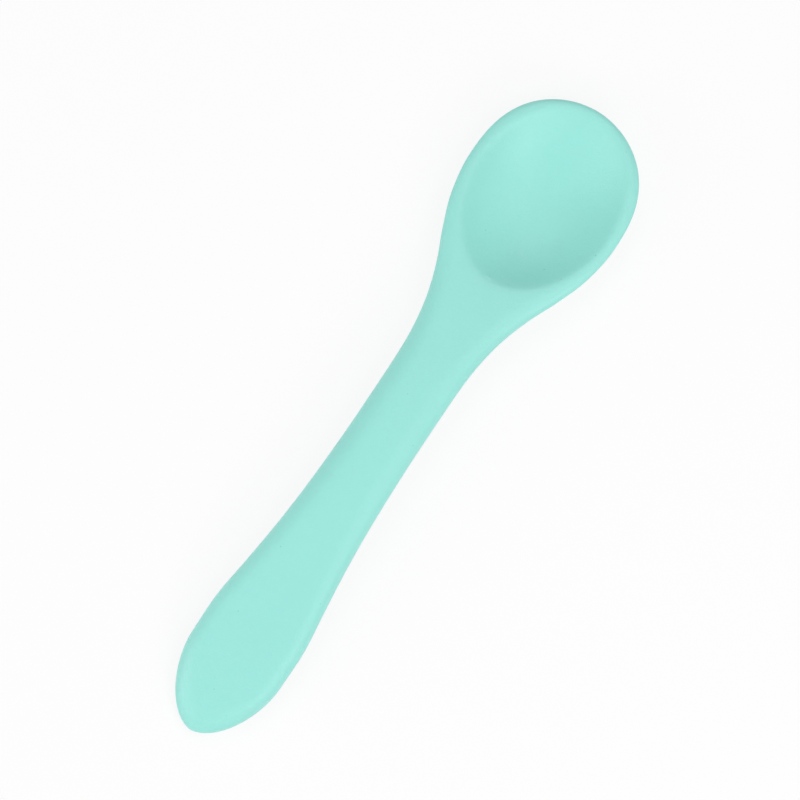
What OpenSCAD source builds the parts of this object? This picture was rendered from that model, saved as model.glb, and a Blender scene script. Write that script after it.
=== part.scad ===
// Baby spoon: a soft silicone body with a deep round bowl, a stiff core in the handle,
// and a silicone back strip that closes the core in from below.
// Stations run from the end of the handle (0) to the lip of the bowl, in millimetres.

/* [Spoon] */
// Length from the end of the handle to the lip of the bowl
spoon_l = 142; // [125:1:165]
// How much lower the rim is at the lip than at the neck
rim_drop = 2.1; // [1.5:0.1:3]
// Depth of the flats where the round underside rests on a table
foot_cut = 0.25; // [0.1:0.05:0.5]

/* [Bowl] */
// Widest width of the bowl, outside
bowl_w = 33.3; // [28:0.1:40]
// Distance from the widest place of the bowl to the lip
lip_reach = 20.3; // [16:0.1:24]
// Depth of the hollow below the rim
bowl_depth = 5.8; // [5:0.1:8]
// Length of the hollow along the spoon
hollow_l = 37.6; // [31:0.1:44]
// Width of the rim beside the hollow
rim_w = 1.9; // [1.5:0.1:3]
// Width of the rim at the lip
lip_w = 0.7; // [0.5:0.05:1.2]
// Thickness of the silicone under the deepest place of the hollow
wall_t = 2.1; // [1.7:0.1:2.8]
// How far the edge between neck and hollow is rounded
hollow_round = 1; // [0.7:0.1:1.3]

/* [Handle] */
// Widest width of the grip
grip_w = 20.2; // [17:0.1:25]
// Distance from the end of the handle to the widest place of the grip
grip_at = 16; // [13:0.5:19]
// Narrowest width of the neck
neck_w = 13.8; // [11:0.1:17]
// Distance from the end of the handle to the narrowest place of the neck
neck_at = 68.5; // [60:0.5:78]
// Thickness of the handle at the neck
handle_t = 6.4; // [5.8:0.1:8]
// Thickness of the handle where its end rests on the table
grip_t = 5.7; // [5.2:0.1:6.8]

/* [Rounding] */
// Width of the rounded edge at the end of the handle
end_round = 4.4; // [3.5:0.1:5.5]
// Height of the rounded edge at the end of the handle
end_h = 2.1; // [1.7:0.1:2.6]
// Width of the rounded edge beside the grip
grip_round = 3.2; // [2.6:0.1:4]
// Width of the rounded edge beside the neck
neck_round = 4.4; // [3.5:0.1:5.2]
// Width of the rounded edge outside the rim of the bowl
rim_round = 3.4; // [2.8:0.1:3.8]
// Width of the rounded edge outside the lip
lip_round = 2.2; // [1.6:0.1:2.6]
// Height of the rounded edge outside the rim of the bowl
rim_h = 1.1; // [0.8:0.1:1.5]

/* [Core] */
// Thickness of the core plate
core_t = 1.6; // [1.2:0.1:2]
// Height of the stiffening rib round the core plate
core_rib_h = 0.6; // [0.4:0.1:0.9]
// Width of that rib
core_rib_w = 0.9; // [0.7:0.1:1.2]
// Silicone above the core plate
core_cover = 2.4; // [2:0.1:3]
// Silicone between the outline of the handle and the side of the core
core_inset = 3.6; // [3:0.1:4.4]
// Distance from the end of the handle to the core
core_from = 12.5; // [11:0.5:16]
// Distance from the neck end of the hollow back to the core
core_back = 6; // [4:0.5:9]
// Diameter of the keying holes through the core
key_d = 3; // [2.4:0.1:3.4]
// Distance between the keying holes
key_pitch = 12; // [10:0.5:15]

/* [Back strip] */
// How far the back strip laps past the sides of the core
strip_lap = 0.9; // [0.6:0.1:1.2]
// How deep the keys of the strip stand in the body above the core
key_depth = 0.9; // [0.6:0.1:1.2]

/* [Hidden] */
silicone_colour = [0.62, 0.905, 0.865];
core_colour = [0.93, 0.92, 0.88];

// Stations along the spoon
flare_share = 0.18;
rest_share = 0.56;
bowl_at = spoon_l - lip_reach;
hollow_from = spoon_l - lip_w - hollow_l;
hollow_mid = hollow_from + hollow_l / 2;
flare_at = hollow_from - hollow_l * flare_share;
rest_at = grip_at * rest_share;

// Widths of the outline, as [place, width] shares from the neck out to the grip and to the bowl
grip_shares = [[0, 0], [0.2, 0.065], [0.36, 0.18], [0.52, 0.385], [0.68, 0.68], [0.84, 0.99], [1, 1]];
flare_shares = [[0, 0], [0.25, 0.005], [0.37, 0.045], [0.49, 0.16], [0.61, 0.37], [0.73, 0.655],
    [0.85, 0.885], [1, 1]];
// Fullness and sharpness of the two ends of the outline
grip_end = [1.76, 0.57];
lip_end = [2.58, 0.52];

// Plan of the hollow, then how steep its walls are and how its edge is rounded at neck, side and lip
hollow_plan = 1.9;
hollow_forms = [3.3, 2.4, 1.65];
round_shares = [1, 0.68, 0.82];
// Forms of the underside at the handle, the bowl and the lip
handle_under = [4, 2];
bowl_under = [2.1, 1.6];
lip_under = [1.7, 1.25];

// How finely the skin is drawn: rows along the end, the shaft and the bowl, and rings across it
end_rows = 12;
shaft_rows = 30;
bowl_rows = 32;
under_rings = 8;
edge_rings = 7;
hollow_shares = [0.96, 0.91, 0.85, 0.77, 0.67, 0.54, 0.38, 0.2];
face_shares = [0.36, 0.68, 0.88];
inner_share = 0.16;
grip_fan_share = 0.7;
lip_fan_share = 0.2;
lip_keel_share = 0.3;
fan_powers = [2.8, 4];

overrun = 20;
tiny = 1e-6;

function clamp(u) = min(max(u, 0), 1);
function smooth(u) = let (c = clamp(u)) c * c * (3 - 2 * c);
function mix(a, b, u) = a + (b - a) * u;

// A smooth curve through a table of [place, value], level at both ends
function slope_at(t, i) =
    i == 0 || i == len(t) - 1 ? 0 : (t[i + 1][1] - t[i - 1][1]) / (t[i + 1][0] - t[i - 1][0]);
function span_of(t, x) = max([for (i = [0 : len(t) - 2]) if (i == 0 || x >= t[i][0]) i]);
function curve(t, x) =
    let (i = span_of(t, x), h = t[i + 1][0] - t[i][0], u = clamp((x - t[i][0]) / h))
    t[i][1] * (1 + 2 * u) * (1 - u) ^ 2 + slope_at(t, i) * h * u * (1 - u) ^ 2
        + t[i + 1][1] * u ^ 2 * (3 - 2 * u) + slope_at(t, i + 1) * h * u ^ 2 * (u - 1);

// Half width of the outline
function rounded(u, form) = max(1 - u ^ form[0], 0) ^ form[1];
function half_w(s) =
    s < grip_at ? grip_w / 2 * rounded((grip_at - s) / grip_at, grip_end)
    : s < neck_at
        ? mix(neck_w, grip_w, curve(grip_shares, (neck_at - s) / (neck_at - grip_at))) / 2
    : s < bowl_at
        ? mix(neck_w, bowl_w, curve(flare_shares, (s - neck_at) / (bowl_at - neck_at))) / 2
    : bowl_w / 2 * rounded((s - bowl_at) / lip_reach, lip_end);

// The top line: a circular arch over the handle, then a curve that levels out at the lip
rim_run = spoon_l - flare_at;
rim_slope = -2 * rim_drop / rim_run;
rest_z = grip_t - foot_cut;
bowl_z = bowl_depth + wall_t - foot_cut;
function rim_fall(s) = rim_slope * (s - flare_at) * (1 - (s - flare_at) / (2 * rim_run));
flare_z = bowl_z - rim_fall(bowl_at);
flare_a = atan(rim_slope);
arch_gap = (flare_z - rest_z - rim_slope * (flare_at - rest_at)) * cos(flare_a);
arch_r = ((flare_at - rest_at) ^ 2 + (flare_z - rest_z) ^ 2) / (2 * arch_gap);
arch_at = flare_at + arch_r * sin(flare_a);
arch_z = flare_z - arch_r * cos(flare_a);
function top_z(s) = s < flare_at ? arch_z + sqrt(arch_r ^ 2 - (s - arch_at) ^ 2) : flare_z + rim_fall(s);

// Thickness below the top line, height of the parting line, and width of the rounded edge
belly_from = hollow_from - wall_t;
function shaft_t(s) = mix(grip_t, handle_t, smooth((s - rest_at) / (neck_at - rest_at)));
function thickness(s) =
    mix(shaft_t(s), bowl_depth + wall_t, smooth((s - belly_from) / (bowl_at - belly_from)));
function into_bowl(s) = smooth((s - (neck_at + flare_at) / 2) / (bowl_at - (neck_at + flare_at) / 2));
function into_lip(s) = smooth((s - bowl_at) / lip_reach);
function edge_h(s) = mix(mix(end_h, shaft_t(s) / 2, smooth(s / rest_at)), rim_h, into_bowl(s));
function edge_z(s) = top_z(s) - edge_h(s) + hollow_z([s, half_w(s)]);
function edge_w(s) =
    s < neck_at ? curve([[0, end_round], [grip_at, grip_round], [neck_at, neck_round]], s)
    : s < bowl_at ? mix(neck_round, rim_round, into_bowl(s))
    : mix(rim_round, lip_round, into_lip(s));

// How far a place in the bowl lies from the middle of the hollow: 1 on its edge
hollow_a = hollow_l / 2;
hollow_b = bowl_w / 2 - rim_w;
function hollow_at(p) =
    (abs((p.x - hollow_mid) / hollow_a) ^ hollow_plan + abs(p.y / hollow_b) ^ hollow_plan)
        ^ (1 / hollow_plan);
// Share of an end value against the value at the sides, from the middle of the hollow
function along(p) =
    let (x = (p.x - hollow_mid) / hollow_a, y = p.y / hollow_b) x ^ 2 / max(x ^ 2 + y ^ 2, tiny);
function by_side(values, p) = mix(values[1], values[p.x < hollow_mid ? 0 : 2], along(p));
function hollow_z(p) =
    let (h = bowl_depth * (hollow_at(p) ^ by_side(hollow_forms, p) - 1),
        e = hollow_round * by_side(round_shares, p))
    (h - sqrt(h ^ 2 + e ^ 2)) / 2;

// Rows run round the outline: the end and shaft of the handle, then the bowl by angle
handle_rows = end_rows + shaft_rows;
rows = handle_rows + bowl_rows;
columns = 2 * rows;
function bowl_turn(i) = 180 * (rows - i) / bowl_rows;
function row_at(i) =
    i <= end_rows ? grip_at * (1 - cos(90 * i / end_rows))
    : i <= handle_rows ? mix(grip_at, flare_at, (i - end_rows) / shaft_rows)
    : bowl_turn(i) > 90 ? mix(bowl_at, flare_at, (bowl_turn(i) - 90) / 90)
    : bowl_at + lip_reach * cos(bowl_turn(i));
function row_of(j) = j <= rows ? j : columns - j;
function side_of(j) = j <= rows ? 1 : -1;
function outline(j) = let (s = row_at(row_of(j))) [s, side_of(j) * half_w(s)];

// Each row runs in to the keel below, and to the spine or just inside the hollow above.
// Near both ends the rows fan out from a short stretch of the keel.
fan_from = grip_at * grip_fan_share;
fan_to = bowl_at - lip_reach * lip_fan_share;
function gathered(u, n) = 1 - (1 - clamp(u)) ^ n;
function keel_at(s) =
    s < fan_from ? fan_from - (fan_from - rest_at) * gathered(1 - s / fan_from, fan_powers[0])
    : s > fan_to
        ? fan_to + lip_reach * lip_keel_share * gathered((s - fan_to) / (spoon_l - fan_to), fan_powers[1])
    : s;
function keel(j) = [keel_at(row_at(row_of(j))), 0];
function inner(j) =
    let (i = row_of(j), s = row_at(i), turn = bowl_turn(i))
    i >= handle_rows
        ? let (c = cos(turn), d = sin(turn), inset = 1 - inner_share * smooth((180 - turn) / 90),
            r = (abs(c) ^ hollow_plan + abs(d) ^ hollow_plan) ^ (-1 / hollow_plan))
          [hollow_mid + hollow_a * c * r * inset, side_of(j) * hollow_b * d * r * inset]
        : [keel_at(s) + (hollow_from - flare_at)
            * smooth((s - neck_at) / (flare_at - neck_at)), 0];

// Points of the skin
function under(j, turn) =
    let (o = outline(j), k = keel(j), s = row_at(row_of(j)), b = into_bowl(s),
        form = mix(mix(handle_under, bowl_under, b), lip_under, into_lip(s)), u = sin(turn), p = mix(k, o, u))
    [p.x, p.y, edge_z(s) + (top_z(k.x) - thickness(k.x) - edge_z(s)) * (1 - u ^ form[0]) ^ (1 / form[1])];
function face_point(p, s, rise) =
    [p.x, p.y, top_z(p.x) - edge_h(s) * (1 - rise) + hollow_z(p)];
function edge(j, turn) =
    let (o = outline(j), n = inner(j), s = row_at(row_of(j)), d = edge_w(s) * (1 - cos(turn)))
    face_point(o + (n - o) * d / norm(n - o), s, sin(turn));
function face(j, u) =
    let (o = outline(j), n = inner(j), s = row_at(row_of(j)), e = o + (n - o) * edge_w(s) / norm(n - o))
    face_point(mix(e, n, u), s, 1);
function hollow(j, u) =
    let (n = inner(j))
    face_point([mix(hollow_mid, n.x, u), n.y * u], bowl_at, 1);

ring_count = under_rings + edge_rings + len(face_shares);
function ring_point(r, j) =
    r < under_rings ? under(j, 90 * (r + 1) / under_rings)
    : r < under_rings + edge_rings ? edge(j, 90 * (r - under_rings + 1) / edge_rings)
    : face(j, face_shares[r - under_rings - edge_rings]);

// Numbers of the points: keel, rings, spine, hollow, middle of the hollow
hollow_columns = 2 * bowl_rows;
first_ring = rows + 1;
first_spine = first_ring + ring_count * columns;
first_hollow = first_spine + handle_rows;
middle = first_hollow + (len(hollow_shares) + 1) * hollow_columns;
function ring_id(r, j) = first_ring + r * columns + j % columns;
function keel_id(j) = row_of(j % columns);
function hollow_id(q, j) = first_hollow + q * hollow_columns + (j - handle_rows) % hollow_columns;
function inner_id(j) =
    let (k = j % columns)
    row_of(k) < handle_rows ? first_spine + row_of(k) : hollow_id(0, k);

skin_points = concat(
    [for (i = [0 : rows]) let (k = keel(i)) [k.x, 0, top_z(k.x) - thickness(k.x)]],
    [for (r = [0 : ring_count - 1], j = [0 : columns - 1]) ring_point(r, j)],
    [for (i = [0 : handle_rows - 1]) face(i, 1)],
    [for (u = concat([1], hollow_shares), j = [handle_rows : handle_rows + hollow_columns - 1]) hollow(j, u)],
    [face_point([hollow_mid, 0], bowl_at, 1)]);

function both_triangles(a, b, c, d) = [[a, b, c], [a, c, d]];
hollow_ends = [handle_rows : handle_rows + hollow_columns - 1];
skin_faces = concat(
    [for (j = [0 : columns - 1])
        each both_triangles(keel_id(j), keel_id(j + 1), ring_id(0, j + 1), ring_id(0, j))],
    [for (r = [0 : ring_count - 2], j = [0 : columns - 1])
        each both_triangles(ring_id(r, j), ring_id(r, j + 1), ring_id(r + 1, j + 1), ring_id(r + 1, j))],
    [for (j = [0 : columns - 1])
        each both_triangles(ring_id(ring_count - 1, j), ring_id(ring_count - 1, j + 1),
            inner_id(j + 1), inner_id(j))],
    [for (q = [0 : len(hollow_shares) - 1], j = hollow_ends)
        each both_triangles(hollow_id(q, j), hollow_id(q, j + 1), hollow_id(q + 1, j + 1), hollow_id(q + 1, j))],
    let (last = len(hollow_shares))
    [for (j = hollow_ends) [hollow_id(last, j), hollow_id(last, j + 1), middle]]);

module place() {
    translate([-spoon_l / 2, 0, 0]) children();
}

module skin() {
    difference() {
        polyhedron(points = skin_points, faces = skin_faces);
        translate([-overrun, -bowl_w, -overrun])
            cube([spoon_l + 2 * overrun, 2 * bowl_w, overrun]);
    }
}

// A plan outline that follows the handle at an inset, with round ends
core_to = hollow_from - core_back;
core_steps = 40;
core_end_share = 0.12;
function plan_w(s, inset, from, to) =
    let (near = half_w(mix(from, to, core_end_share)) - inset, far = half_w(to) - inset)
    (half_w(s) - inset) * sqrt(max(1 - (1 - clamp((s - from) / near)) ^ 2, 0))
        * sqrt(max(1 - (1 - clamp((to - s) / far)) ^ 2, 0));
function plan_at(from, to, i) = mix(from, to, (1 - cos(180 * i / core_steps)) / 2);
module plan(inset, from, to) {
    polygon([
        for (i = [0 : core_steps]) let (s = plan_at(from, to, i)) [s, plan_w(s, inset, from, to)],
        for (i = [core_steps - 1 : -1 : 1]) let (s = plan_at(from, to, i)) [s, -plan_w(s, inset, from, to)]]);
}

// What lies on the inner side of a line at the given depth below the arch
module below_arch(depth) {
    translate([arch_at, 0, arch_z])
        rotate([90, 0, 0])
            cylinder(r = arch_r - depth, h = 2 * bowl_w, center = true, $fn = 360);
}

module core_plan() {
    plan(core_inset, core_from, core_to);
}

module strip_plan() {
    plan(core_inset - strip_lap, core_from - strip_lap, core_to + strip_lap);
}

module upright() {
    translate([0, 0, -overrun]) linear_extrude(height = 3 * overrun) children();
}

module core_blank() {
    intersection() {
        upright() core_plan();
        below_arch(core_cover);
    }
    intersection() {
        upright() difference() {
            core_plan();
            plan(core_inset + core_rib_w, core_from + core_rib_w, core_to - core_rib_w);
        }
        below_arch(core_cover - core_rib_h);
    }
}

// Keys stand square to the arch, through the core and into the body above it
key_root = core_t / 2;
keys = floor((core_to - core_from - 2 * key_d) / key_pitch) + 1;
function key_at(i) = (core_from + core_to) / 2 + (i - (keys - 1) / 2) * key_pitch;
module each_key() {
    for (i = [0 : keys - 1])
        translate([arch_at, 0, arch_z])
            rotate([0, asin((key_at(i) - arch_at) / arch_r), 0])
                children();
}

module key_posts() {
    each_key()
        translate([0, 0, arch_r - core_cover - core_t - key_root])
            cylinder(d = key_d, h = core_t + key_root + key_depth, $fn = 48);
}

module spoon_body() {
    color(silicone_colour) place() difference() {
        skin();
        core_blank();
        intersection() {
            upright() strip_plan();
            below_arch(core_cover + core_t);
        }
        key_posts();
    }
}

module handle_core() {
    color(core_colour) place() difference() {
        core_blank();
        below_arch(core_cover + core_t);
        key_posts();
    }
}

module back_strip() {
    color(silicone_colour) place() union() {
        intersection() {
            skin();
            upright() strip_plan();
            below_arch(core_cover + core_t);
        }
        key_posts();
    }
}

spoon_body();
handle_core();
back_strip();
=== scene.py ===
import math

import bmesh
import bpy
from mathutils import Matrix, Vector


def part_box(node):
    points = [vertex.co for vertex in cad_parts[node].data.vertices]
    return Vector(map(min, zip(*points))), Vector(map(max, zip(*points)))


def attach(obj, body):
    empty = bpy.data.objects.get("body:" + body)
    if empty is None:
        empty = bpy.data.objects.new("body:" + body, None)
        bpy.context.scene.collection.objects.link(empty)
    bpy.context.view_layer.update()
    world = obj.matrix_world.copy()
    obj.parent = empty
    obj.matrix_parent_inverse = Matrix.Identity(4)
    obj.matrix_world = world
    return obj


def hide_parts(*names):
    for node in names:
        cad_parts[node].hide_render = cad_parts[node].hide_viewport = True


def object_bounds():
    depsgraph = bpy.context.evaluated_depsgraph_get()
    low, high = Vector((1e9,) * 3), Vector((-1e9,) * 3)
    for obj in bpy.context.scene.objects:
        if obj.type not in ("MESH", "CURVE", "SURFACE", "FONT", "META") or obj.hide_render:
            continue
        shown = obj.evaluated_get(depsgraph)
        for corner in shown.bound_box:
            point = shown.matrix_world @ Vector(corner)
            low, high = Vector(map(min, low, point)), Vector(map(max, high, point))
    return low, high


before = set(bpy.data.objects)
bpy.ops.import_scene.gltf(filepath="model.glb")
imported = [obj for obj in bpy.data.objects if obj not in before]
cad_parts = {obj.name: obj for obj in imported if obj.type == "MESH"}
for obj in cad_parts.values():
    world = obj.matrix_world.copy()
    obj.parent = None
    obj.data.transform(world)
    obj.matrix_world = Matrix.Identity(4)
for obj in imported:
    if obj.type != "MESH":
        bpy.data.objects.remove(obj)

cadLow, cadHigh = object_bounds()
coreLow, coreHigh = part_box("handle_core")
mm = 0.001

# How the meshes are finished: gaps in metres, the angle in degrees
meshing = {
    "joinGap": 1e-6,           # points closer than this are one point
    "cutGap": 2e-6,            # the same for what the cuts leave
    "mostSides": 4,            # faces with more are split into triangles
    "smoothAngle": 35,         # flatter edges than this are shaded smooth
}

# Sizes are in millimetres, and stations are counted from the end of the handle to the lip
skin = {
    "length": (cadHigh.x - cadLow.x) / mm,
    "bowlWidth": (cadHigh.y - cadLow.y) / mm,
    "lipReach": 20.3,          # widest place of the bowl to the lip
    "gripWidth": 20.2,
    "gripAt": 16.0,
    "neckWidth": 13.8,
    "neckAt": 68.5,
    "gripShares": [(0, 0), (0.2, 0.065), (0.36, 0.18), (0.52, 0.385), (0.68, 0.68), (0.84, 0.99), (1, 1)],
    "flareShares": [(0, 0), (0.25, 0.005), (0.37, 0.045), (0.49, 0.16), (0.61, 0.37), (0.73, 0.655),
                    (0.85, 0.885), (1, 1)],
    "gripEnd": (1.76, 0.57),   # fullness and sharpness of each end of the outline
    "lipEnd": (2.58, 0.52),
    "handleThick": 6.4,
    "gripThick": 5.7,
    "restShare": 0.56,         # where the handle rests, as a share of gripAt
    "flareShare": 0.18,        # how far before the hollow the bowl's rim begins
    "footCut": 0.25,           # how much of the round underside its flat foot takes off
    "footSoft": 0.04,          # how softly the round underside turns into its foot
    "rimDrop": 2.1,
    "endRound": 4.4,           # widths of the rounded edge
    "gripRound": 3.2,
    "neckRound": 4.4,
    "rimRound": 3.4,
    "lipRound": 2.2,
    "endHeight": 2.1,          # heights of the rounded edge
    "rimHeight": 1.1,
    "handleUnder": (4.0, 2.0),    # fullness and sharpness of the underside's section
    "bowlUnder": (2.1, 1.6),
    "lipUnder": (1.7, 1.25),
    "ridge": 0.03,             # fine ridge left where the two halves of the mould met
    "ridgeWidth": 0.2,
}

hollow = {
    "depth": 5.8,
    "length": 37.6,
    "rimWidth": 1.9,
    "lipWidth": 0.7,
    "wall": 2.1,
    "plan": 1.9,               # 2 is an ellipse, more is fuller and less is slimmer
    "forms": (3.3, 2.4, 1.65),    # how steep the walls stand at neck, side and lip
    "edgeRounds": (1.0, 0.68, 0.82),    # how softly its edge is rounded at the same places
    "insetShare": 0.16,        # the rim's mesh ends this far down the wall
    "rings": 16,
    "floorShare": 0.5,         # the rings end here and the floor is filled in
    "floorSpan": 56,
    "centreSpot": 1e-6,        # keeps the very middle from a division by zero
}

# How finely the skin is drawn
weave = {
    "endRows": 32,
    "shaftRows": 96,
    "bowlRows": 112,
    "underRings": 24,
    "edgeRings": 18,
    "faceRings": 18,
    "facePower": 1.8,          # above 1 the face's rings crowd towards the hollow
    "hollowPower": 1.4,
    "gripFan": 0.7,            # near both ends the rows fan out from a short stretch of the keel
    "lipFan": 0.2,
    "lipKeel": 0.3,
    "fanPowers": (2.8, 4.0),
}

# Stations and heights that follow from the sizes
length = skin["length"]
bowlAt = length - skin["lipReach"]
hollowFrom = length - hollow["lipWidth"] - hollow["length"]
hollowMid = hollowFrom + hollow["length"] / 2
hollowHalfWidth = skin["bowlWidth"] / 2 - hollow["rimWidth"]
flareAt = hollowFrom - hollow["length"] * skin["flareShare"]
restAt = skin["gripAt"] * skin["restShare"]
bowlThick = hollow["depth"] + hollow["wall"]


def clamp(u):
    return min(max(u, 0.0), 1.0)


def smooth(u):
    u = clamp(u)
    return u * u * (3 - 2 * u)


def mix(a, b, u):
    return a + (b - a) * u


# A smooth curve through pairs of place and value, level at both ends
def curve(table, x):
    last = len(table) - 1
    i = max(k for k in range(last) if k == 0 or x >= table[k][0])
    (x0, y0), (x1, y1) = table[i], table[i + 1]
    slope = [0 if k in (0, last) else
             (table[k + 1][1] - table[k - 1][1]) / (table[k + 1][0] - table[k - 1][0])
             for k in (i, i + 1)]
    h = x1 - x0
    u = clamp((x - x0) / h)
    return (y0 * (1 + 2 * u) * (1 - u) ** 2 + slope[0] * h * u * (1 - u) ** 2
            + y1 * u * u * (3 - 2 * u) + slope[1] * h * u * u * (u - 1))


def halfWidth(s):
    grip, neck, bowl = skin["gripWidth"] / 2, skin["neckWidth"] / 2, skin["bowlWidth"] / 2
    if s < skin["gripAt"]:
        full, sharp = skin["gripEnd"]
        return grip * max(1 - (1 - s / skin["gripAt"]) ** full, 0) ** sharp
    if s < skin["neckAt"]:
        share = (skin["neckAt"] - s) / (skin["neckAt"] - skin["gripAt"])
        return mix(neck, grip, curve(skin["gripShares"], share))
    if s < bowlAt:
        share = (s - skin["neckAt"]) / (bowlAt - skin["neckAt"])
        return mix(neck, bowl, curve(skin["flareShares"], share))
    full, sharp = skin["lipEnd"]
    return bowl * max(1 - ((s - bowlAt) / skin["lipReach"]) ** full, 0) ** sharp


# Top line: a circular arch over the handle, then a curve that levels out at the lip
rimRun = length - flareAt
rimSlope = -2 * skin["rimDrop"] / rimRun


def rimFall(s):
    return rimSlope * (s - flareAt) * (1 - (s - flareAt) / (2 * rimRun))


flareHeight = bowlThick - skin["footCut"] - rimFall(bowlAt)
restHeight = skin["gripThick"] - skin["footCut"]
flareTurn = math.atan(rimSlope)
archRun = flareAt - restAt
archRadius = ((archRun ** 2 + (flareHeight - restHeight) ** 2)
              / (2 * (flareHeight - restHeight - rimSlope * archRun) * math.cos(flareTurn)))
archAt = flareAt + archRadius * math.sin(flareTurn)
archHeight = flareHeight - archRadius * math.cos(flareTurn)


# The arch itself, or a line at the given depth below it
def archLine(s, depth=0.0):
    return archHeight + math.sqrt((archRadius - depth) ** 2 - (s - archAt) ** 2)


def topLine(s):
    return archLine(s) if s < flareAt else flareHeight + rimFall(s)


def shaftThick(s):
    return mix(skin["gripThick"], skin["handleThick"], smooth((s - restAt) / (skin["neckAt"] - restAt)))


def thickness(s):
    bellyFrom = hollowFrom - hollow["wall"]
    return mix(shaftThick(s), bowlThick, smooth((s - bellyFrom) / (bowlAt - bellyFrom)))


def intoBowl(s):
    begin = (skin["neckAt"] + flareAt) / 2
    return smooth((s - begin) / (bowlAt - begin))


def intoLip(s):
    return smooth((s - bowlAt) / skin["lipReach"])


def edgeHeight(s):
    handle = mix(skin["endHeight"], shaftThick(s) / 2, smooth(s / restAt))
    return mix(handle, skin["rimHeight"], intoBowl(s))


def edgeWidth(s):
    if s < skin["neckAt"]:
        return curve([(0, skin["endRound"]), (skin["gripAt"], skin["gripRound"]),
                      (skin["neckAt"], skin["neckRound"])], s)
    if s < bowlAt:
        return mix(skin["neckRound"], skin["rimRound"], intoBowl(s))
    return mix(skin["rimRound"], skin["lipRound"], intoLip(s))


# 1 on the edge of the hollow, 0 in its middle
def hollowRadius(s, y):
    n = hollow["plan"]
    return (abs((s - hollowMid) / (hollow["length"] / 2)) ** n + abs(y / hollowHalfWidth) ** n) ** (1 / n)


# How far the surface falls into the hollow, with its edge rounded off
def hollowFall(s, y):
    away = (s - hollowMid) / (hollow["length"] / 2)
    aside = y / hollowHalfWidth
    along = away ** 2 / max(away ** 2 + aside ** 2, hollow["centreSpot"])
    end = 0 if s < hollowMid else 2
    form = mix(hollow["forms"][1], hollow["forms"][end], along)
    edge = mix(hollow["edgeRounds"][1], hollow["edgeRounds"][end], along)
    h = hollow["depth"] * (hollowRadius(s, y) ** form - 1)
    return (h - math.sqrt(h * h + edge ** 2)) / 2


def topAt(s, y):
    return topLine(s) + hollowFall(s, y)


# Rows run along the outline, rings from the keel below to the spine or the hollow above
handleRows = weave["endRows"] + weave["shaftRows"]
rows = handleRows + weave["bowlRows"]
rings = weave["underRings"] + 2 + weave["edgeRings"] + weave["faceRings"]
fanFrom = skin["gripAt"] * weave["gripFan"]
fanTo = bowlAt - skin["lipReach"] * weave["lipFan"]


def rowAt(i):
    if i <= weave["endRows"]:
        return skin["gripAt"] * (1 - math.cos(math.pi / 2 * i / weave["endRows"]))
    if i <= handleRows:
        return mix(skin["gripAt"], flareAt, (i - weave["endRows"]) / weave["shaftRows"])
    turn = 2 * (rows - i) / weave["bowlRows"]
    if turn > 1:
        return mix(bowlAt, flareAt, turn - 1)
    return bowlAt + skin["lipReach"] * math.cos(math.pi / 2 * turn)


def gathered(u, n):
    return 1 - (1 - clamp(u)) ** n


def keelAt(s):
    if s < fanFrom:
        return fanFrom - (fanFrom - restAt) * gathered(1 - s / fanFrom, weave["fanPowers"][0])
    if s > fanTo:
        return fanTo + (skin["lipReach"] * weave["lipKeel"]
                        * gathered((s - fanTo) / (length - fanTo), weave["fanPowers"][1]))
    return s


def innerAt(i):
    s = rowAt(i)
    if i < handleRows:
        return Vector((keelAt(s) + (hollowFrom - flareAt)
                       * smooth((s - skin["neckAt"]) / (flareAt - skin["neckAt"])), 0))
    turn = math.pi * (rows - i) / weave["bowlRows"]
    c, d = math.cos(turn), math.sin(turn)
    r = (abs(c) ** hollow["plan"] + abs(d) ** hollow["plan"]) ** (-1 / hollow["plan"])
    r *= 1 - hollow["insetShare"] * smooth((math.pi - turn) / (math.pi / 2))
    return Vector((hollowMid + hollow["length"] / 2 * c * r, hollowHalfWidth * d * r))


# A point of the skin, ring by ring from the keel to the parting line and on to the top
def skinPoint(i, ring):
    s = rowAt(i)
    out = Vector((s, halfWidth(s)))
    edgeZ = topAt(*out) - edgeHeight(s)
    inner = innerAt(i)
    inward = (inner - out).normalized()
    if ring == weave["underRings"] + 1:
        return out.x, out.y, edgeZ
    out = out + inward * skin["ridge"]
    if ring <= weave["underRings"]:
        turn = math.pi / 2 * ring / weave["underRings"]
        if ring == weave["underRings"]:
            turn = math.acos(skin["ridgeWidth"] / 2 / (thickness(s) - edgeHeight(s)))
        keel = Vector((keelAt(s), 0))
        u = math.sin(turn)
        p = keel.lerp(out, u)
        full, sharp = (mix(mix(a, b, intoBowl(s)), c, intoLip(s)) for a, b, c
                       in zip(skin["handleUnder"], skin["bowlUnder"], skin["lipUnder"]))
        rise = max(1 - u ** full, 0) ** (1 / sharp)
        z = edgeZ + (topLine(keel.x) - thickness(keel.x) - edgeZ) * rise
        return p.x, p.y, (z + math.sqrt(z * z + skin["footSoft"] ** 2)) / 2
    ring -= weave["underRings"] + 2
    if ring <= weave["edgeRings"]:
        turn = math.pi / 2 * ring / weave["edgeRings"]
        if ring == 0:
            turn = math.asin(skin["ridgeWidth"] / 2 / edgeHeight(s))
        p = out + inward * edgeWidth(s) * (1 - math.cos(turn))
        return p.x, p.y, topAt(p.x, p.y) - edgeHeight(s) * (1 - math.sin(turn))
    share = gathered((ring - weave["edgeRings"]) / weave["faceRings"], weave["facePower"])
    p = (out + inward * edgeWidth(s)).lerp(inner, share)
    return p.x, p.y, topAt(p.x, p.y)


def toFrame(s, y, z):
    return Vector((s - length / 2, y, z)) * mm


def editOn(obj):
    bpy.ops.object.select_all(action="DESELECT")
    obj.select_set(True)
    bpy.context.view_layer.objects.active = obj
    bpy.ops.object.mode_set(mode="EDIT")
    bpy.ops.mesh.select_all(action="DESELECT")


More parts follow.
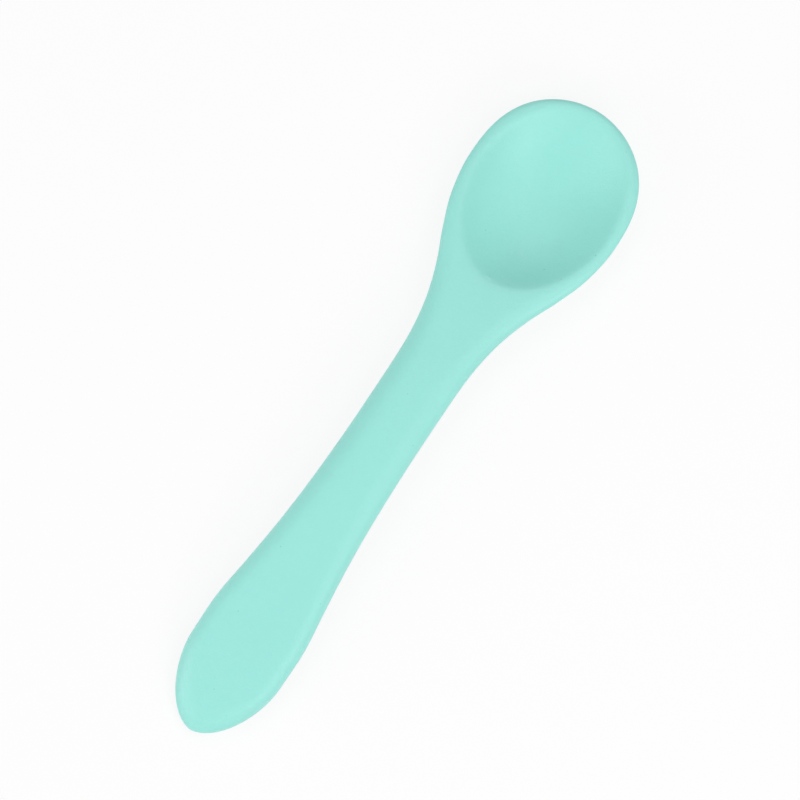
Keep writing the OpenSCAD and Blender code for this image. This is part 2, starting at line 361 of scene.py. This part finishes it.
def editOff():
    bpy.ops.object.mode_set(mode="OBJECT")


def applyModifier(obj, kind, **settings):
    bpy.ops.object.select_all(action="DESELECT")
    obj.select_set(True)
    bpy.context.view_layer.objects.active = obj
    modifier = obj.modifiers.new(kind.title(), kind)
    for name, value in settings.items():
        setattr(modifier, name, value)
    bpy.ops.object.modifier_apply(modifier=modifier.name)


def pickVerts(obj, test):
    mesh = bmesh.from_edit_mesh(obj.data)
    for v in mesh.verts:
        v.select = test(v)
    mesh.select_flush_mode()
    bmesh.update_edit_mesh(obj.data)


# The closed outer form of the silicone, before the channel for the core
def makeSkin():
    bpy.ops.object.select_all(action="DESELECT")
    bpy.ops.mesh.primitive_grid_add(x_subdivisions=rows, y_subdivisions=rings, size=2)
    obj = bpy.context.object
    for v in obj.data.vertices:    # the flat grid from -1 to 1 is laid round one half of the spoon
        i = round((v.co.x + 1) / 2 * rows)
        ring = round((v.co.y + 1) / 2 * rings)
        v.co = toFrame(*skinPoint(i, ring))
        if i in (0, rows) or ring == 0 or (ring == rings and i < handleRows):
            v.co.y = 0
    applyModifier(obj, "MIRROR", use_axis=(False, True, False), use_clip=True,
                  merge_threshold=meshing["joinGap"])

    # Hollow: the open rim is extruded down the walls ring by ring, then the floor is filled
    editOn(obj)
    bpy.ops.mesh.select_mode(type="VERT")
    pickVerts(obj, lambda v: len(v.link_edges) == 2 and not v.is_boundary)
    bpy.ops.mesh.dissolve_verts()
    bpy.ops.mesh.select_non_manifold()
    firstInside = len(bmesh.from_edit_mesh(obj.data).verts)
    centre = toFrame(hollowMid, 0, 0)
    before = 1.0
    for k in range(hollow["rings"]):
        share = mix(1, hollow["floorShare"], ((k + 1) / hollow["rings"]) ** weave["hollowPower"])
        bpy.ops.mesh.extrude_region_move()
        bpy.ops.transform.resize(value=(share / before, share / before, 1), center_override=centre)
        before = share
    bpy.ops.mesh.fill_grid(span=hollow["floorSpan"])
    editOff()
    for v in obj.data.vertices[firstInside:]:
        v.co.z = topAt(v.co.x / mm + length / 2, v.co.y / mm) * mm
    editOn(obj)
    bpy.ops.mesh.select_all(action="SELECT")
    bpy.ops.mesh.normals_make_consistent(inside=False)
    editOff()
    print("skin:", len(obj.data.polygons), "faces")
    return obj


core = {
    "cover": 2.4,              # silicone above the core plate
    "thick": 1.6,
    "inset": 3.6,
    "ribHeight": 0.6,
    "ribWidth": 0.9,
    "keyWidth": 3.0,
    "keyPitch": 12.0,
    "keySides": 48,
    "endShare": 0.12,          # how far along the near end's round takes its width from the handle
    "steps": 80,               # faces along a block that cuts
    "blockFoot": -3.0,         # those blocks end this far below the table
}
coreFrom = coreLow.x / mm + length / 2
coreTo = coreHigh.x / mm + length / 2

strip = {
    "lap": 0.9,                # how far it laps past the sides of the core
    "keyDepth": 0.9,
    "seam": 0.05,              # half the hairline between the strip and the body
    "keyPlay": 0.02,
}


# Half width of an outline that follows the handle at an inset, with round ends
def planHalfWidth(s, inset, start, end):
    near = halfWidth(mix(start, end, core["endShare"])) - inset
    far = halfWidth(end) - inset
    return ((halfWidth(s) - inset) * math.sqrt(max(1 - (1 - clamp((s - start) / near)) ** 2, 0))
            * math.sqrt(max(1 - (1 - clamp((end - s) / far)) ** 2, 0)))


# A closed block below the arch: a strip of faces is laid along the arch, then drawn down and flattened
def makeBlock(inset, start, end, depth):
    foot = core["blockFoot"] * mm
    bpy.ops.object.select_all(action="DESELECT")
    bpy.ops.mesh.primitive_grid_add(x_subdivisions=core["steps"], y_subdivisions=1, size=2)
    obj = bpy.context.object
    for v in obj.data.vertices:
        turn = math.pi / 2 * (v.co.x + 1)
        s = mix(start, end, (1 - math.cos(turn)) / 2)
        side = 1 if v.co.y > 0 else -1
        v.co = toFrame(s, side * planHalfWidth(s, inset, start, end), archLine(s, depth))
    editOn(obj)
    bpy.ops.mesh.select_all(action="SELECT")
    bpy.ops.mesh.remove_doubles(threshold=meshing["joinGap"])
    bpy.ops.mesh.extrude_region_move(TRANSFORM_OT_translate={"value": (0, 0, foot)})
    bpy.ops.transform.resize(value=(1, 1, 0), center_override=(0, 0, foot))
    bpy.ops.mesh.select_all(action="SELECT")
    bpy.ops.mesh.normals_make_consistent(inside=False)
    editOff()
    return obj


# Keys stand square to the arch, through the core and into the body above it
def makeKeys(width, top, root):
    count = math.floor((coreTo - coreFrom - 2 * core["keyWidth"]) / core["keyPitch"]) + 1
    low, high = archRadius - root, archRadius - top
    keys = []
    for i in range(count):
        s = (coreFrom + coreTo) / 2 + (i - (count - 1) / 2) * core["keyPitch"]
        turn = math.asin((s - archAt) / archRadius)
        middle = toFrame(archAt + (low + high) / 2 * math.sin(turn), 0,
                         archHeight + (low + high) / 2 * math.cos(turn))
        bpy.ops.object.select_all(action="DESELECT")
        bpy.ops.mesh.primitive_cylinder_add(vertices=core["keySides"], radius=width / 2 * mm,
                                            depth=(high - low) * mm, location=middle,
                                            rotation=(0, turn, 0))
        keys.append(bpy.context.object)
    for key in keys:
        key.select_set(True)
    bpy.context.view_layer.objects.active = keys[0]
    bpy.ops.object.join()
    bpy.ops.object.transform_apply(location=True, rotation=True, scale=True)
    return bpy.context.object


def cut(obj, tool, how="DIFFERENCE"):
    applyModifier(obj, "BOOLEAN", object=tool, operation=how, solver="EXACT")
    bpy.data.objects.remove(tool)


# Joins what the cuts left split, and splits the faces that they left with many sides
def cleanMesh(obj, name):
    editOn(obj)
    bpy.ops.mesh.select_all(action="SELECT")
    bpy.ops.mesh.remove_doubles(threshold=meshing["cutGap"])
    bpy.ops.mesh.dissolve_degenerate(threshold=meshing["joinGap"])
    editOff()
    applyModifier(obj, "TRIANGULATE", min_vertices=meshing["mostSides"] + 1, ngon_method="BEAUTY")
    bpy.ops.object.shade_smooth_by_angle(angle=math.radians(meshing["smoothAngle"]))
    obj.name = obj.data.name = name


# The body's channel takes the core from below, and the strip closes it
def splitSkin(whole):
    back = whole.copy()
    back.data = whole.data.copy()
    bpy.context.scene.collection.objects.link(back)
    floor = core["cover"] + core["thick"]
    inset = core["inset"] - strip["lap"]
    start, end = coreFrom - strip["lap"], coreTo + strip["lap"]
    cut(whole, makeBlock(inset - strip["seam"], start - strip["seam"], end + strip["seam"], floor))
    cut(whole, makeBlock(core["inset"], coreFrom, coreTo, core["cover"]))
    rib = makeBlock(core["inset"], coreFrom, coreTo, core["cover"] - core["ribHeight"])
    cut(rib, makeBlock(core["inset"] + core["ribWidth"], coreFrom + core["ribWidth"],
                       coreTo - core["ribWidth"], core["cover"] - 2 * core["ribHeight"]))
    cut(whole, rib)
    cut(whole, makeKeys(core["keyWidth"], core["cover"] - strip["keyDepth"], floor))
    print("body cut:", len(whole.data.polygons), "faces")

    cut(back, makeBlock(inset + strip["seam"], start + strip["seam"], end - strip["seam"],
                        floor + strip["keyPlay"]), "INTERSECT")
    cut(back, makeKeys(core["keyWidth"] - 2 * strip["keyPlay"], core["cover"] - strip["keyDepth"],
                       floor + core["thick"] / 2), "UNION")
    print("back strip cut:", len(back.data.polygons), "faces")
    cleanMesh(whole, "siliconeBody")
    cleanMesh(back, "backStrip")
    return whole, back


silicone = {
    "colour": (0.33, 0.777, 0.706),
    "paler": 1.03,             # how much the cloudy patches differ
    "cloud": 90,               # patches per metre
    "rough": (0.36, 0.46),
    "grain": 2600,             # grains of the mould's satin finish per metre
    "grainDepth": 0.06,
    "wave": 380,               # slow waves of its polish per metre
    "waveDepth": 0.01,
    "scatter": 0.1,
    "scatterDepth": 1.2,
    "scatterReach": (0.5, 1.0, 0.9),    # red light goes less deep than green and blue
    "ior": 1.41,
    "dust": 400,               # cells per metre that may hold a speck
    "dustSize": 0.075,         # of a cell
    "dustShare": 0.3,          # of the cells that do
    "dustShade": 0.84,
}

nylon = {
    "colour": (0.85, 0.83, 0.76),
    "darker": 0.96,
    "cloud": 200,
    "rough": (0.42, 0.56),
    "grain": 2400,
    "grainDepth": 0.006,
}

# How fine and how uneven the noise in both materials is
noise = {
    "patches": {"Detail": 3.0, "Roughness": 0.55},
    "grain": {"Detail": 2.0, "Roughness": 0.6},
    "wave": {"Detail": 1.0},
}


# A node at its place in the editor, with the given inputs and settings
def addNode(tree, kind, at, **values):
    node = tree.nodes.new(kind)
    node.location = at
    for name, value in values.items():
        if name in node.inputs:
            node.inputs[name].default_value = value
        else:
            setattr(node, name, value)
    return node


# A moulded piece: two shades in cloudy patches, uneven polish and fine grain
def moulded(name, look, secondColour):
    mat = bpy.data.materials.new(name)
    mat.use_nodes = True
    tree = mat.node_tree
    shader = tree.nodes["Principled BSDF"]
    place = addNode(tree, "ShaderNodeTexCoord", at=(-1100, 0))
    patches = addNode(tree, "ShaderNodeTexNoise", at=(-900, 300), Scale=look["cloud"], **noise["patches"])
    tint = addNode(tree, "ShaderNodeMix", at=(-500, 300), data_type="RGBA")
    tint.inputs["A"].default_value = (*look["colour"], 1)
    tint.inputs["B"].default_value = (*secondColour, 1)
    satin = addNode(tree, "ShaderNodeMapRange", at=(-500, 0))
    satin.inputs["To Min"].default_value, satin.inputs["To Max"].default_value = look["rough"]
    fine = addNode(tree, "ShaderNodeTexNoise", at=(-900, -300), Scale=look["grain"], **noise["grain"])
    bump = addNode(tree, "ShaderNodeBump", at=(-300, -300), Distance=look["grainDepth"] * mm)
    for texture in (patches, fine):
        tree.links.new(place.outputs["Object"], texture.inputs["Vector"])
    tree.links.new(patches.outputs["Fac"], tint.inputs["Factor"])
    tree.links.new(patches.outputs["Fac"], satin.inputs["Value"])
    tree.links.new(fine.outputs["Fac"], bump.inputs["Height"])
    tree.links.new(tint.outputs["Result"], shader.inputs["Base Color"])
    tree.links.new(satin.outputs["Result"], shader.inputs["Roughness"])
    tree.links.new(bump.outputs["Normal"], shader.inputs["Normal"])
    return mat, tree, shader, place, tint, bump


def siliconeMaterial(name):
    paler = tuple(min(c * silicone["paler"], 1) for c in silicone["colour"])
    mat, tree, shader, place, tint, bump = moulded(name, silicone, paler)
    shader.inputs["IOR"].default_value = silicone["ior"]
    shader.inputs["Subsurface Weight"].default_value = silicone["scatter"]
    shader.inputs["Subsurface Radius"].default_value = silicone["scatterReach"]
    shader.inputs["Subsurface Scale"].default_value = silicone["scatterDepth"] * mm

    # The mould's polish leaves a slow waviness under the fine grain
    wave = addNode(tree, "ShaderNodeTexNoise", at=(-900, -600), Scale=silicone["wave"], **noise["wave"])
    swell = addNode(tree, "ShaderNodeBump", at=(-600, -600), Distance=silicone["waveDepth"] * mm)
    tree.links.new(place.outputs["Object"], wave.inputs["Vector"])
    tree.links.new(wave.outputs["Fac"], swell.inputs["Height"])
    tree.links.new(swell.outputs["Normal"], bump.inputs["Normal"])

    # Silicone draws dust: a few cells hold one small speck each
    cells = addNode(tree, "ShaderNodeTexVoronoi", at=(-900, 700), Scale=silicone["dust"])
    near = addNode(tree, "ShaderNodeMapRange", at=(-650, 700), interpolation_type="SMOOTHSTEP")
    near.inputs["From Min"].default_value = silicone["dustSize"]
    near.inputs["From Max"].default_value = silicone["dustSize"] / 2
    pick = addNode(tree, "ShaderNodeSeparateColor", at=(-650, 950))
    rare = addNode(tree, "ShaderNodeMath", at=(-450, 950), operation="LESS_THAN")
    rare.inputs[1].default_value = silicone["dustShare"]
    both = addNode(tree, "ShaderNodeMath", at=(-250, 800), operation="MULTIPLY")
    dusty = addNode(tree, "ShaderNodeMix", at=(-100, 500), data_type="RGBA", blend_type="MULTIPLY")
    shade = silicone["dustShade"]
    dusty.inputs["B"].default_value = (shade, shade, shade, 1)
    tree.links.new(place.outputs["Object"], cells.inputs["Vector"])
    tree.links.new(cells.outputs["Distance"], near.inputs["Value"])
    tree.links.new(cells.outputs["Color"], pick.inputs["Color"])
    tree.links.new(pick.outputs["Red"], rare.inputs[0])
    tree.links.new(near.outputs["Result"], both.inputs[0])
    tree.links.new(rare.outputs["Value"], both.inputs[1])
    tree.links.new(both.outputs["Value"], dusty.inputs["Factor"])
    tree.links.new(tint.outputs["Result"], dusty.inputs["A"])
    tree.links.new(dusty.outputs["Result"], shader.inputs["Base Color"])
    return mat


def nylonMaterial():
    darker = tuple(c * nylon["darker"] for c in nylon["colour"])
    return moulded("natural nylon", nylon, darker)[0]


camera = {
    "centre": (3.91, 1.54),    # what the middle of the picture looks at
    "turn": -56.27,            # the handle runs to the lower left of the picture
    "width": 153.4,            # how much of the table the picture spans, in millimetres
    "height": 600.0,
}

lights = {
    # name: direction round the table from +X and height above it in degrees, and power in watts
    "softboxes": {
        "left, low": (135, 18, 0.74),
        "left": (150, 35, 0.5),
        "near": (240, 35, 0.7),
        "near, right": (255, 35, 0.45),
        "right": (300, 35, 0.17),
        "right, high": (292, 68, 0.57),
        "lip": (30, 52, 0.6),
    },
    "size": 0.3,               # metres across
    "distance": 0.6,           # metres from the middle of the spoon
    "world": 0.375,            # strength of the dim sky that lights the spoon
}

paper = {
    "colour": (0.9, 0.9, 0.9),
    "rough": 0.9,
    "white": 0.86,             # share of plain white that the camera sees, the rest is lit paper
    "size": 4.0,               # metres
}


def makeCamera():
    data = bpy.data.cameras.new("camera")
    data.type = "ORTHO"
    data.ortho_scale = camera["width"] * mm
    obj = bpy.data.objects.new("camera", data)
    bpy.context.scene.collection.objects.link(obj)
    x, y = camera["centre"]
    obj.location = (x * mm, y * mm, camera["height"] * mm)
    obj.rotation_euler = (0, 0, math.radians(camera["turn"]))
    bpy.context.scene.camera = obj


def makeLights():
    for name, (around, above, power) in lights["softboxes"].items():
        data = bpy.data.lights.new(name, "AREA")
        data.shape = "DISK"
        data.size = lights["size"]
        data.energy = power
        obj = bpy.data.objects.new(name, data)
        bpy.context.scene.collection.objects.link(obj)
        around, above = math.radians(around), math.radians(above)
        towards = Vector((math.cos(around) * math.cos(above), math.sin(around) * math.cos(above),
                          math.sin(above)))
        obj.location = towards * lights["distance"]
        obj.rotation_euler = towards.to_track_quat("Z", "Y").to_euler()
        obj.visible_camera = False


# 1 for a ray that shows what is behind the spoon, 0 for one that only lights it
def seenDirectly(tree):
    ray = addNode(tree, "ShaderNodeLightPath", at=(-800, 300))
    seen = addNode(tree, "ShaderNodeMath", at=(-600, 300), operation="MAXIMUM")
    shown = addNode(tree, "ShaderNodeMath", at=(-400, 300), operation="MAXIMUM")
    tree.links.new(ray.outputs["Is Camera Ray"], seen.inputs[0])
    tree.links.new(ray.outputs["Is Glossy Ray"], seen.inputs[1])
    tree.links.new(seen.outputs["Value"], shown.inputs[0])
    tree.links.new(ray.outputs["Is Transmission Ray"], shown.inputs[1])
    return shown.outputs["Value"]


# A dim even sky lights the spoon, and a white one stands behind it
def makeWorld():
    world = bpy.data.worlds.new("studio")
    world.use_nodes = True
    tree = world.node_tree
    sky = tree.nodes["Background"]
    sky.inputs["Color"].default_value = (1, 1, 1, 1)
    sky.inputs["Strength"].default_value = lights["world"]
    plain = addNode(tree, "ShaderNodeBackground", at=(-200, -200), Color=(1, 1, 1, 1), Strength=1.0)
    blend = addNode(tree, "ShaderNodeMixShader", at=(100, 100))
    tree.links.new(seenDirectly(tree), blend.inputs["Fac"])
    tree.links.new(sky.outputs["Background"], blend.inputs[1])
    tree.links.new(plain.outputs["Background"], blend.inputs[2])
    tree.links.new(blend.outputs["Shader"], tree.nodes["World Output"].inputs["Surface"])
    bpy.context.scene.world = world


# White paper: seen directly it is nearly plain white and keeps a faint shadow of the spoon
def makeFloor():
    bpy.ops.object.select_all(action="DESELECT")
    bpy.ops.mesh.primitive_plane_add(size=paper["size"])
    floor = bpy.context.object
    floor.name = "floor"
    mat = bpy.data.materials.new("white paper")
    mat.use_nodes = True
    tree = mat.node_tree
    lit = tree.nodes["Principled BSDF"]
    lit.inputs["Base Color"].default_value = (*paper["colour"], 1)
    lit.inputs["Roughness"].default_value = paper["rough"]
    lit.inputs["Specular IOR Level"].default_value = 0
    plain = addNode(tree, "ShaderNodeEmission", at=(0, -200), Color=(1, 1, 1, 1), Strength=1.0)
    share = addNode(tree, "ShaderNodeMath", at=(0, 300), operation="MULTIPLY")
    share.inputs[1].default_value = paper["white"]
    blend = addNode(tree, "ShaderNodeMixShader", at=(200, 100))
    tree.links.new(seenDirectly(tree), share.inputs[0])
    tree.links.new(share.outputs["Value"], blend.inputs["Fac"])
    tree.links.new(lit.outputs["BSDF"], blend.inputs[1])
    tree.links.new(plain.outputs["Emission"], blend.inputs[2])
    tree.links.new(blend.outputs["Shader"], tree.nodes["Material Output"].inputs["Surface"])
    floor.data.materials.append(mat)


body, back = splitSkin(makeSkin())
body.data.materials.append(siliconeMaterial("mint silicone"))
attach(body, "root")
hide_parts("spoon_body")
back.data.materials.append(siliconeMaterial("mint silicone, second shot"))
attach(back, "root")
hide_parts("back_strip")
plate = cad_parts["handle_core"]
plate.data.materials.clear()
plate.data.materials.append(nylonMaterial())
print("pieces finished")
makeCamera()
makeLights()
makeWorld()
makeFloor()
bpy.context.scene.view_settings.view_transform = "Standard"
print("studio set up")

bpy.context.view_layer.update()
